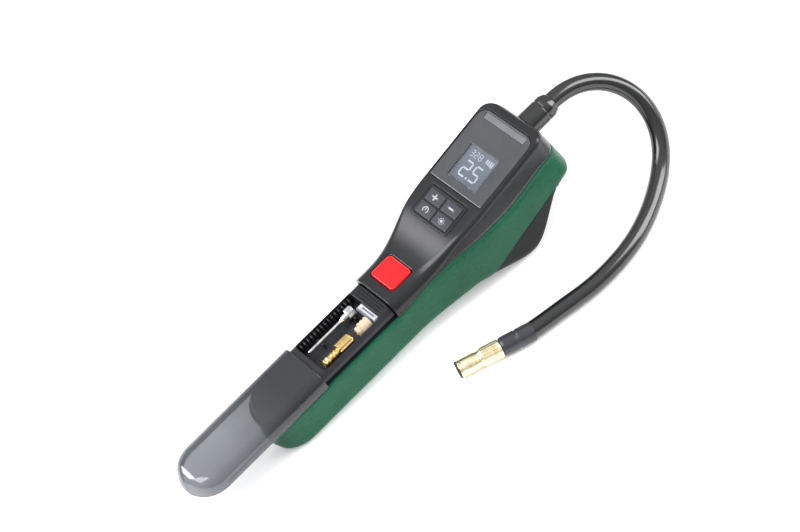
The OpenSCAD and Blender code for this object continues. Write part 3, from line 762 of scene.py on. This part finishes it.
def outer_ring(x_at, inset, part, up):
    """Section's outside with a rounded edge at its parting line"""
    side = 1 if up else -1
    half = []
    for more, lift in ((EDGE, 0), (HALF_EDGE, HALF_EDGE)):
        x = x_at(inset + more)
        half.append(leaned(x, *half_section(x, inset + more, part(x) + side * lift, up)[0]))
    x = x_at(inset)
    half += [leaned(x, y, z) for y, z in half_section(x, inset, part(x) + side * EDGE, up)]
    return mirrored(half)


def inner_ring(x_at, inset, part, up):
    x = x_at(inset)
    return mirrored([leaned(x, y, z) for y, z in half_section(x, inset, part(x), up)])


def ladder(first, count):
    """Faces across one end of a skin, between its right half and its left half"""
    middle = count // 2
    faces = []
    for j in range(middle):
        face = [first + j, first + j + 1, first + count - 2 - j, first + count - 1 - j]
        faces.append(tuple(dict.fromkeys(face)))
    return faces


def shell(name, places, inset, wall, part, up, start, end):
    """Half shell of the body form. Each end is 'closed' by its own rounding, a 'wall' across it
    or a 'cut' that shows the wall's thickness"""
    rings, outers, inners = [], 0, 0
    for x_at, more in places:
        outer = outer_ring(x_at, inset + more, part, up)
        inner = inner_ring(x_at, inset + wall, part, up)
        outers, inners = len(outer), len(inner)
        rings.append(outer + inner[::-1])
    points, faces = loft(rings)
    faces = faces[:-2]
    for kind, base in ((start, 0), (end, (len(rings) - 1) * (outers + inners))):
        last = base + outers + inners - 1
        if kind == "wall":
            faces += ladder(base, outers) + ladder(base + outers, inners)
            faces.append((base, base + outers - 1, base + outers, last))
        elif kind == "cut":
            faces += [(base + j + 2, base + j + 3, last - j - 1, last - j)
                      for j in range(inners - 1)]
            faces += [(base, base + 1, base + 2, last),
                      (base + outers - 1, base + outers - 2, base + outers - 3, base + outers)]
    return solid(name, points, faces)


def cylinder_cut(radius, x, y, z0, z1, face=None, edge=0.3):
    """Upright round cutter, rounded where it meets a face below it when one is given"""
    if face is None:
        return cutter(ring_of(radius, 24, (x, y)), [(0, z0), (0, z1)])
    middle = edge * MID_ROUND
    rounded = [(-edge, z0), (-edge, face), (-middle, face + middle), (0, face + edge), (0, z1)]
    return cutter(ring_of(radius, 24, (x, y)), rounded)


def gland_cut():
    start, end = BODY_LEN - 12, BODY_LEN + 3
    profile = [(start, 0), (start, GLAND_HOLE_R), (end, GLAND_HOLE_R), (end, 0)]
    return solid("cutter", *turned(profile), TOOL @ at(0, 0, GLAND_Z))


# Rear shell
rear = shell("rear_housing", BUTT + stations(HANDLE_R, BODY_LEN - HEAD_END_R) + HEAD,
             0, WALL, lambda x: rim(x) - 0.15, False, "closed", "wall")
line_start, line_end = MOTOR_COVER
below_line = [(line_start, cover_line(line_start)), (line_end, cover_line(line_end)),
              (line_end, -40), (line_start, -40)]
port_cut = cutter(rect(-PORT_HALF[0], PORT_HALF[0], -PORT_HALF[1], PORT_HALF[1], 1.6),
                  [(0, -6), (0, -1.2), (-0.5, -0.4), (-0.5, 2)],
                  TOOL @ at(0, 0, PORT_Z) @ turn(-90, "Y"))
carve(rear, [solid("cutter", *along(below_line, 60)), gland_cut(), port_cut]
      + [cylinder_cut(2.4, x, side * y, -3, 1.5, 0, 0.3) for x, y in SCREWS for side in (-1, 1)]
      + [cylinder_cut(1.3, x, side * y, 1, 10) for x, y in SCREWS for side in (-1, 1)])
piece(rear, "body", "green_shell", ["rear_shell"])

# Front shell
front = shell("front_housing",
              cut_end(FRONT_START, 1) + stations(FRONT_START + 1.5, BODY_LEN - HEAD_END_R) + HEAD,
              0, WALL, lambda x: rim(x) + 0.25, True, "cut", "wall")


def window_outline(inset):
    """Window's plan, square at the keypad and round at the head's end"""
    half, length = WINDOW_HALF - inset, WINDOW_LEN - inset
    radius = max(WINDOW_R - inset, 0.1)
    points = []
    for k, (cx, cy, r) in enumerate(((length - radius, half - radius, radius),
                                     (inset + 0.6, half - 0.6, 0.6),
                                     (inset + 0.6, 0.6 - half, 0.6),
                                     (length - radius, radius - half, radius))):
        for i in range(9):
            a = math.radians(90 * k + 90 * i / 8)
            points.append((cx + r * math.cos(a), cy + r * math.sin(a)))
    return points


bx, by = BUTTON_HALF
hole_x, hole_y = bx + BUTTON_GAP, by + BUTTON_GAP
carve(front, [
    cutter(window_outline, flared(-5, 0, 0.35), on_face(WINDOW_X)),
    cutter(rect(0, KEYPAD_LEN + 0.1, -KEYPAD_HALF, KEYPAD_HALF, 1.2), flared(-6, 0, 0.3),
           on_face(KEYPAD_X)),
    cutter(rect(BUTTON_X - hole_x, BUTTON_X + hole_x, -hole_y, hole_y, 2.2),
           flared(30, HANDLE_H, 0.7)),
    gland_cut()])
piece(front, "body", "grey_shell", ["front_shell"])

# Motor cover, flat where it rests
bulge = shell("motor_housing",
              cut_end(line_start, 1) + stations(line_start + 1, line_end - 1, 1.5)
              + cut_end(line_end, -1),
              MOTOR_COVER_STEP, WALL, lambda x: cover_line(x) - 0.1, False, "cut", "cut")
carve(bulge, [cutter(rect(-60, 200, -50, 50, 1), [(0, -30), (0, 0)], Matrix())])
piece(bulge, "body", "black_cover", ["motor_cover"])

# Clear sliding cover with its guide lips
cover = shell("clear_cover", BUTT + stations(HANDLE_R, COVER_LEN - EDGE - 1) + cut_end(COVER_LEN, -1),
              0, COVER_WALL, lambda x: RIM_Z + 0.2, True, "closed", "cut")
cover_place = TOOL @ at(-COVER_OPEN, 0, 0)
cover.matrix_world = cover_place
lips = []
for side in (-1, 1):
    middle = side * (HANDLE_R - COVER_WALL - 0.35)
    lips.append(solid("lip", *slab(rect(*LIP_X, middle - LIP_HALF, middle + LIP_HALF, 0.3),
                                   layers(*LIP_Z, 0.15, 0.15)), cover_place))
carve(cover, lips, "UNION")
piece(cover, "cover", "clear_cover", ["sliding_cover"])

# ---- Display and keypad ----

window_place = on_face(WINDOW_X, WINDOW_T)
window_layers = [(0.25 + inset, z) for inset, z in layers(0, WINDOW_T, 0, 0.5)]
window = solid("window", *slab(window_outline, window_layers), window_place)
opening = flared(-1, WINDOW_T, 0.2)
carve(window, [
    cutter(rect(*LCD, -LCD_HALF, LCD_HALF, 0.8), opening, window_place),
    cutter(rect(*LENS, -LENS_HALF, LENS_HALF, 0.6), opening, window_place)])
piece(window, "body", "display_black", ["display_window"])

pane = solid("lcd_pane", *slab(rect(LCD[0] + 0.02, LCD[1] - 0.02, 0.02 - LCD_HALF, LCD_HALF - 0.02, 0.8),
                               layers(1.1, WINDOW_T - 0.05, 0, 0.1)), window_place)
piece(pane, "body", "clear_cover", look=GLASS)

lens = solid("lamp_lens", *combined(
    [slab(rect(LENS[0] + 0.1, LENS[1] - 0.1, 0.1 - LENS_HALF, LENS_HALF - 0.1, 0.5),
          layers(0, WINDOW_T - 0.25, 0, 0.3))]
    + [slab(rect(LENS[0] + 0.7, LENS[1] - 0.7, y - 0.3, y + 0.3, 0.2),
            layers(WINDOW_T - 0.3, WINDOW_T - 0.1, 0, 0.12)) for y in range(-15, 16, 2)]),
             window_place)
piece(lens, "body", "lamp_lens", ["light_lens"])

panel = solid("lcd_screen", *slab(rect(LCD[0] - 1.2, LCD[1] + 1.2, -LCD_HALF - 1.2, LCD_HALF + 1.2, 0.6),
                                  layers(0, 1.1, 0, 0.15)), on_face(WINDOW_X, WINDOW_T + 1.2))
piece(panel, "body", "lcd", ["lcd_panel"])


# Bars of a seven bar digit as (across, up, upright), in halves of its height
BARS = {"a": (0, 2, 0), "b": (1, 1.5, 1), "c": (1, 0.5, 1), "d": (0, 0, 0), "e": (-1, 0.5, 1),
        "f": (-1, 1.5, 1), "g": (0, 1, 0)}
DIGITS = {"2": "abged", "5": "afgcd", "8": "abcdefg", "3": "abgcd"}


DIGIT_LAYERS = layers(0, 0.08, 0, 0.02, 1)


def digit(number, middle, foot, height):
    """Bars of one digit on the display, where up is +X and across is -Y"""
    parts = []
    half, thick = height * 0.27, height * 0.055
    for name in DIGITS[number]:
        across, up, upright = BARS[name]
        x, y = foot + up * height / 2, -(middle + across * half)
        long, wide = height / 4 - thick * 0.8, half - thick * 0.6
        size = (long, thick) if upright else (thick, wide)
        parts.append(slab(rect(x - size[0], x + size[0], y - size[1], y + size[1], thick * 0.5, 2),
                          DIGIT_LAYERS))
    return parts


# Two large digits with a point between them, three small ones and four bars
large_foot = LCD[0] + 3.7
small_foot = LCD[0] + 15.6
marks = digit("2", -4.6, large_foot, 9) + digit("5", 3.2, large_foot, 9)
marks.append(slab(rect(large_foot - 0.5, large_foot + 0.7, -0.1, 1.1, 0.4, 3), DIGIT_LAYERS))
for k, number in enumerate("328"):
    marks += digit(number, -7.4 + 3.2 * k, small_foot, 3.6)
for k in range(4):
    x, y = small_foot + 0.2 + 0.2 * k, -8.8 + 1.5 * k
    marks.append(slab(rect(x, small_foot + 3.4, y, -7.8 + 1.5 * k, 0.1, 2), DIGIT_LAYERS))
segments = solid("lcd_digits", *combined(marks), on_face(WINDOW_X, WINDOW_T + 0.12))
piece(segments, "body", "lcd", look=PALE_INK)


def key_middle(i, j):
    """Middle of the key that is i along the tool and j across it"""
    return (KEY_EDGE + KEY_SIZE[0] / 2 + i * (KEY_SIZE[0] + KEY_GAP),
            (j - 0.5) * (KEY_SIZE[1] + KEY_GAP))


bezel_place = on_face(KEYPAD_X, 2)
bezel = solid("keypad_frame", *slab(rect(0.1, KEYPAD_LEN - 0.1, 0.1 - KEYPAD_HALF, KEYPAD_HALF - 0.1, 1.1),
                                    layers(0, 2.1, 0, 0.35)), bezel_place)
half_x, half_y = KEY_SIZE[0] / 2, KEY_SIZE[1] / 2
key_holes = []
for i in (0, 1):
    for j in (0, 1):
        kx, ky = key_middle(i, j)
        hole = rect(kx - half_x, kx + half_x, ky - half_y, ky + half_y, 0.7)
        key_holes.append(cutter(hole, flared(-1, 2.1, 0.2), bezel_place))
carve(bezel, key_holes)
piece(bezel, "body", "grey_shell", ["keypad_bezel"])


SIGN_LAYERS = layers(0, 0.22, 0, 0.06, 2)
SIGN_BAR = 0.45
SIGN_HALF = 2


def plus_sign():
    upright = slab(rect(-SIGN_HALF, SIGN_HALF, -SIGN_BAR, SIGN_BAR, 0.2, 2), SIGN_LAYERS)
    return minus_sign() + [upright]


def minus_sign():
    return [slab(rect(-SIGN_BAR, SIGN_BAR, -SIGN_HALF, SIGN_HALF, 0.2, 2), SIGN_LAYERS)]


def gauge_sign():
    """Open ring with a pointer, for the unit key"""
    ring = []
    for k in range(25):
        a = math.radians(-135 + 270 * k / 24)
        ring.append([(r * math.cos(a), r * math.sin(a), z)
                     for r, z in ((1.5, 0), (2.1, 0), (2.05, 0.2), (1.55, 0.2))])
    pointer = slab(rect(-0.3, 1.5, -0.22, 0.22, 0.15, 2), layers(0, 0.22, 0, 0.05, 2))
    return [loft(ring), pointer]


def lamp_sign():
    """Disc with rays, for the light key"""
    parts = [slab(ring_of(0.9, 20), SIGN_LAYERS)]
    for k in range(8):
        a = 2 * math.pi * k / 8
        middle = (1.75 * math.cos(a), 1.75 * math.sin(a), 0)
        parts.append(moved(slab(ring_of(0.32, 12), layers(0, 0.2, 0, 0.06, 2)), middle))
    return parts


def key_top(body, node, i, j, sign):
    """Crowned rubber key with rows of small dots around its sign"""
    half = ((KEY_SIZE[0] - 0.3) / 2, (KEY_SIZE[1] - 0.3) / 2)
    kx, ky = key_middle(i, j)
    place = on_face(KEYPAD_X, KEY_DROP - KEY_LIFT) @ at(kx, ky, 0)
    crown = [(1.6, KEY_DROP - 0.06), (3.0, KEY_DROP)]
    cap = slab(rect(-half[0], half[0], -half[1], half[1], 0.9),
               layers(0, KEY_DROP - 0.16, 0, 0.5, 4) + crown)
    stem = slab(ring_of(1.5, 20), [(0, -0.6), (0, 0.6)])
    dots = []
    pitch = 0.85
    for row in range(-3, 4):
        for column in range(-6, 7):
            x, y = row * pitch * 1.02, (column + 0.5 * (row % 2)) * pitch
            if abs(y) > half[1] - 0.8 or abs(x) > half[0] - 0.8 or math.hypot(x, y) < 2.7:
                continue
            dots.append(moved(slab(ring_of(0.24, 8), [(0, -0.1), (0, 0.05), (0.1, 0.13)]),
                              (x, y, KEY_DROP - 0.1)))
    top = solid(node, *combined([cap, stem] + dots), place)
    piece(top, body, "key_rubber", [node])
    mark = solid(node.replace("key", "sign"), *combined(sign()), place @ at(0, 0, KEY_DROP - 0.04))
    piece(mark, body, "white_plastic", look=KEY_INK)


KEYS = (("plus_key", "key_plus", 1, 1, plus_sign), ("minus_key", "key_minus", 1, 0, minus_sign),
        ("unit_key", "key_unit", 0, 1, gauge_sign), ("light_key", "key_light", 0, 0, lamp_sign))
for body_name, node_name, i, j, sign in KEYS:
    key_top(body_name, node_name, i, j, sign)

# Power button, crowned and with a stem
crown = [(0.9 + 1.3 * k, BUTTON_TOP - 0.5 + 0.5 * math.sin(math.pi / 2 * k / 5)) for k in range(1, 6)]
button = solid("trigger_button", *combined([
    slab(rect(BUTTON_X - bx, BUTTON_X + bx, -by, by, 2.2, 8),
         layers(33, BUTTON_TOP - 0.5, 0, 0.9, 5) + crown),
    slab(ring_of(1.6, 24, (BUTTON_X, 0)), [(0, 31.4), (0, 33.4)])]))
piece(button, "button", "red_button", ["power_button"])

# ---- Springs ----

def coil(radius, wire, length, turns, steps=20, sides=8):
    """Points and faces of a coil spring that stands along Z"""
    rings = []
    for k in range(turns * steps + 1):
        a = 2 * math.pi * k / steps
        rise = wire + (length - 2 * wire) * k / (turns * steps)
        ring = []
        for j in range(sides):
            b = 2 * math.pi * j / sides
            reach = radius + wire * math.cos(b)
            ring.append((reach * math.cos(a), reach * math.sin(a), rise + wire * math.sin(b)))
        rings.append(ring)
    return loft(rings)


# Name, its CAD node, foot, mean radius, wire radius, length, turns, joint, height that stays, share kept
SPRINGS = (
    ("button_coil", "button_spring", (BUTTON_X, 0, 29), 2.55, 0.34, 3.95, 4, "power_push", 29, 0.69),
    ("valve_coil", "valve_spring", (CYLINDER_X, 0, 37.4), 2.1, 0.28, 2.6, 3, "valve_lift", 40, 0.6),
)
for name, node, foot, radius, wire, length, turns, joint, fixed, kept in SPRINGS:
    spring = solid(name, *coil(radius, wire, length, turns), TOOL @ at(*foot))
    piece(spring, "body", "steel", [node])
    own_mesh(spring)

# ---- Storage bay ----

tray_places = BUTT + stations(HANDLE_R, TRAY_END - 1) + cut_end(TRAY_END, -1)
tray = solid("adapter_bay", *loft([outer_ring(x_at, TRAY_INSET + more, lambda x: TRAY_Z, True)
                                   for x_at, more in tray_places]))

bay = cutter(rect(*BAY_X, -BAY_HALF, BAY_HALF, 1.6), flared(BAY_FLOOR, 33.6, 0.5, 8))
cradle_parts = []
for x, y, r in CRADLES:
    saddle = solid("saddle", *slab(rect(x, x + 1.3, y - r - 1.4, y + r + 1.4, 0.3, 2),
                                   layers(BAY_FLOOR - 1, ADAPTER_Z - 0.3, 0, 0.2, 2)))
    notch = solid("cutter", *turned([(x - 1, 0), (x - 1, r), (x + 3, r), (x + 3, 0)], 32),
                  TOOL @ at(0, y, ADAPTER_Z))
    cradle_parts.append(carve(saddle, [notch]))
for k in range(RIB_COUNT):
    x = BAY_X[0] + 2.2 + RIB_PITCH * k
    cradle_parts.append(solid("rib", *slab(rect(x, x + 1.1, 10.3, BAY_HALF + 1, 0.3, 2),
                                           layers(BAY_FLOOR - 1, 30.6, 0, 0.3, 2))))
carve(bay, cradle_parts)
carve(tray, [bay]
      + [cutter(rect(x, x + 0.95, -12, 12, 0.4, 3), [(0, 32.4), (0, 40)]) for x in GRIP_SLOTS]
      + [cutter(rect(-2, TRAY_END + 3, y - 0.7, y + 0.7, 0.1, 2), [(0, z) for z in GROOVE_Z])
         for y in (-GROOVE_Y, GROOVE_Y)]
      + [cylinder_cut(1.25, x, side * y, 20, 24) for x, y in SCREWS[:2] for side in (-1, 1)])
piece(tray, "body", "tray", ["adapter_tray"])

clip = solid("holder_clip", *slab(rect(82.6, 85.8, -12.6, 7, 0.7), layers(BAY_FLOOR, 33, 0, 0.6)))
carve(clip, [cutter(rect(80, 90, 1.5, 12, 1.2), [(0, BAY_FLOOR + 1), (0, 40)]),
             cutter(rect(83.8, 84.6, -11, -1, 0.2), [(0, 31.6), (0, 40)])])
piece(clip, "body", "clip_grey", ["adapter_clip"])

# Adapters, each turned about its own axis: a valve adapter with a ridged push-on end, collars
# and a knurled head, a ball needle and a stepped nozzle with a brass ferrule
valve_profile = [(0, 1.25), (0, 2.2), (1.2, 3.1), (1.7, 2.5), (2.2, 2.5), (3.4, 3.1), (4.1, 2.4),
                 (5.9, 2.4), (6.1, 2.9), (7.3, 2.9), (7.5, 2.3), (8.1, 2.3), (8.3, 2.9), (9.3, 2.9),
                 (9.5, 2.4), (10.9, 2.4), (11.3, 4.1), (20.1, 4.1), (20.6, 3.4), (21, 3.3), (21, 2.0),
                 (19.4, 1.25)]
valve_shape = turned(softened(valve_profile, 0.22, True), 96, True, (12, 0.45, 11.2, 20.2))
valve = solid("valve_adapter", *valve_shape, TOOL @ at(47, VALVE_Y, ADAPTER_Z))
piece(valve, "valve_adapter", "brass", ["adapter_valve"])

needle_profile = [(0, 0), (0, 0.55), (0.8, 0.95), (24.4, 0.95), (25.6, 1.5), (26.8, 2.0), (27.0, 2.4)]
for k in range(4):
    needle_profile += [(27.1 + 0.55 * k, 2.4), (27.35 + 0.55 * k, 2.05)]
needle_profile += [(29.4, 2.1), (29.5, 3.4), (29.9, 3.6), (33.9, 3.6), (34.5, 3.1), (34.5, 0)]
needle = solid("ball_needle", *turned(softened(needle_profile, 0.15), 72, False, (6, 0.3, 29.6, 34.2)),
               TOOL @ at(46.5, NEEDLE_Y, ADAPTER_Z))
carve(needle, [cutter(ring_of(0.4, 16), [(0, 0), (0, 3)], TOOL @ at(50, NEEDLE_Y, ADAPTER_Z))])
piece(needle, "needle_adapter", "chrome", ["adapter_needle"])

nozzle_profile = [(0, 1.6), (0.2, 2.6), (0.9, 3.2), (2.7, 3.2), (3.0, 4.0), (4.0, 4.0), (4.2, 3.7),
                  (5.2, 3.7), (5.4, 4.0), (6.4, 4.0), (6.6, 3.7), (7.6, 3.7), (7.8, 4.0), (8.9, 4.0),
                  (9.4, 3.5), (9.4, 1.6)]
nozzle_place = TOOL @ at(72, NOZZLE_Y, ADAPTER_Z)
nozzle = solid("nozzle_adapter", *turned(softened(nozzle_profile, 0.18, True), 64, True), nozzle_place)
piece(nozzle, "nozzle_adapter", "ivory_plastic", ["adapter_nozzle"])
ferrule_profile = [(-0.15, 1.0), (-0.15, 2.0), (0.4, 2.3), (1.0, 1.58), (8.8, 1.58), (8.8, 1.0)]
ferrule = solid("nozzle_ferrule", *turned(softened(ferrule_profile, 0.12, True), 48, True), nozzle_place)
piece(ferrule, "nozzle_adapter", "brass")

# ---- Materials on the CAD nodes that stay ----

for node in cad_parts.values():
    if node.hide_render:
        continue
    for index, material_slot in enumerate(node.material_slots):
        node.material_slots[index].material = LOOKS[material_slot.material.name.split(".")[0]]

# ---- Floor and light ----

SKY_LOW = 0.25
SKY_HIGH = 1.2

floor = solid("floor", *slab(rect(-2500, 2500, -2500, 2500, 10), [(0, -8), (0, 0)]), Matrix())
floor.data.materials.append(surface("floor_paper", linear(250, 250, 250), 0.7,
                                    linear(247, 247, 247), blotch=6.0, grain=300.0,
                                    Emission_Color=linear(255, 255, 255), Emission_Strength=0.22))

scene.world = scene.world or bpy.data.worlds.new("studio")
scene.world.use_nodes = True
sky = scene.world.node_tree
ways = sky.nodes.new("ShaderNodeSeparateXYZ")
sky.links.new(sky.nodes.new("ShaderNodeTexCoord").outputs["Generated"], ways.inputs[0])
climb = sky.nodes.new("ShaderNodeMapRange")
climb.inputs[3].default_value, climb.inputs[4].default_value = SKY_LOW, SKY_HIGH
sky.links.new(ways.outputs["Z"], climb.inputs[0])
sky.nodes["Background"].inputs[0].default_value = (1, 1, 1, 1)
sky.links.new(climb.outputs[0], sky.nodes["Background"].inputs[1])
scene.view_settings.view_transform = "Standard"


def softbox(name, direction, distance, size, power):
    """Area light that faces the camera's target; direction is in azimuth and elevation"""
    a, e = (math.radians(angle) for angle in direction)
    way = Vector((math.sin(a) * math.cos(e), -math.cos(a) * math.cos(e), math.sin(e)))
    lamp = bpy.data.lights.new(name, "AREA")
    lamp.shape = "RECTANGLE"
    lamp.size, lamp.size_y = size
    lamp.energy = power
    obj = bpy.data.objects.new(name, lamp)
    scene.collection.objects.link(obj)
    obj.matrix_world = (Matrix.Translation(CAMERA_TARGET + way * distance)
                        @ way.to_track_quat("Z", "Y").to_matrix().to_4x4())


softbox("key_light", (-100, 55), 1.0, (0.7, 0.5), 9)
softbox("side_light", (60, 30), 1.1, (0.5, 0.9), 10)
softbox("back_light", (-138, 38), 1.0, (0.35, 0.3), 5)
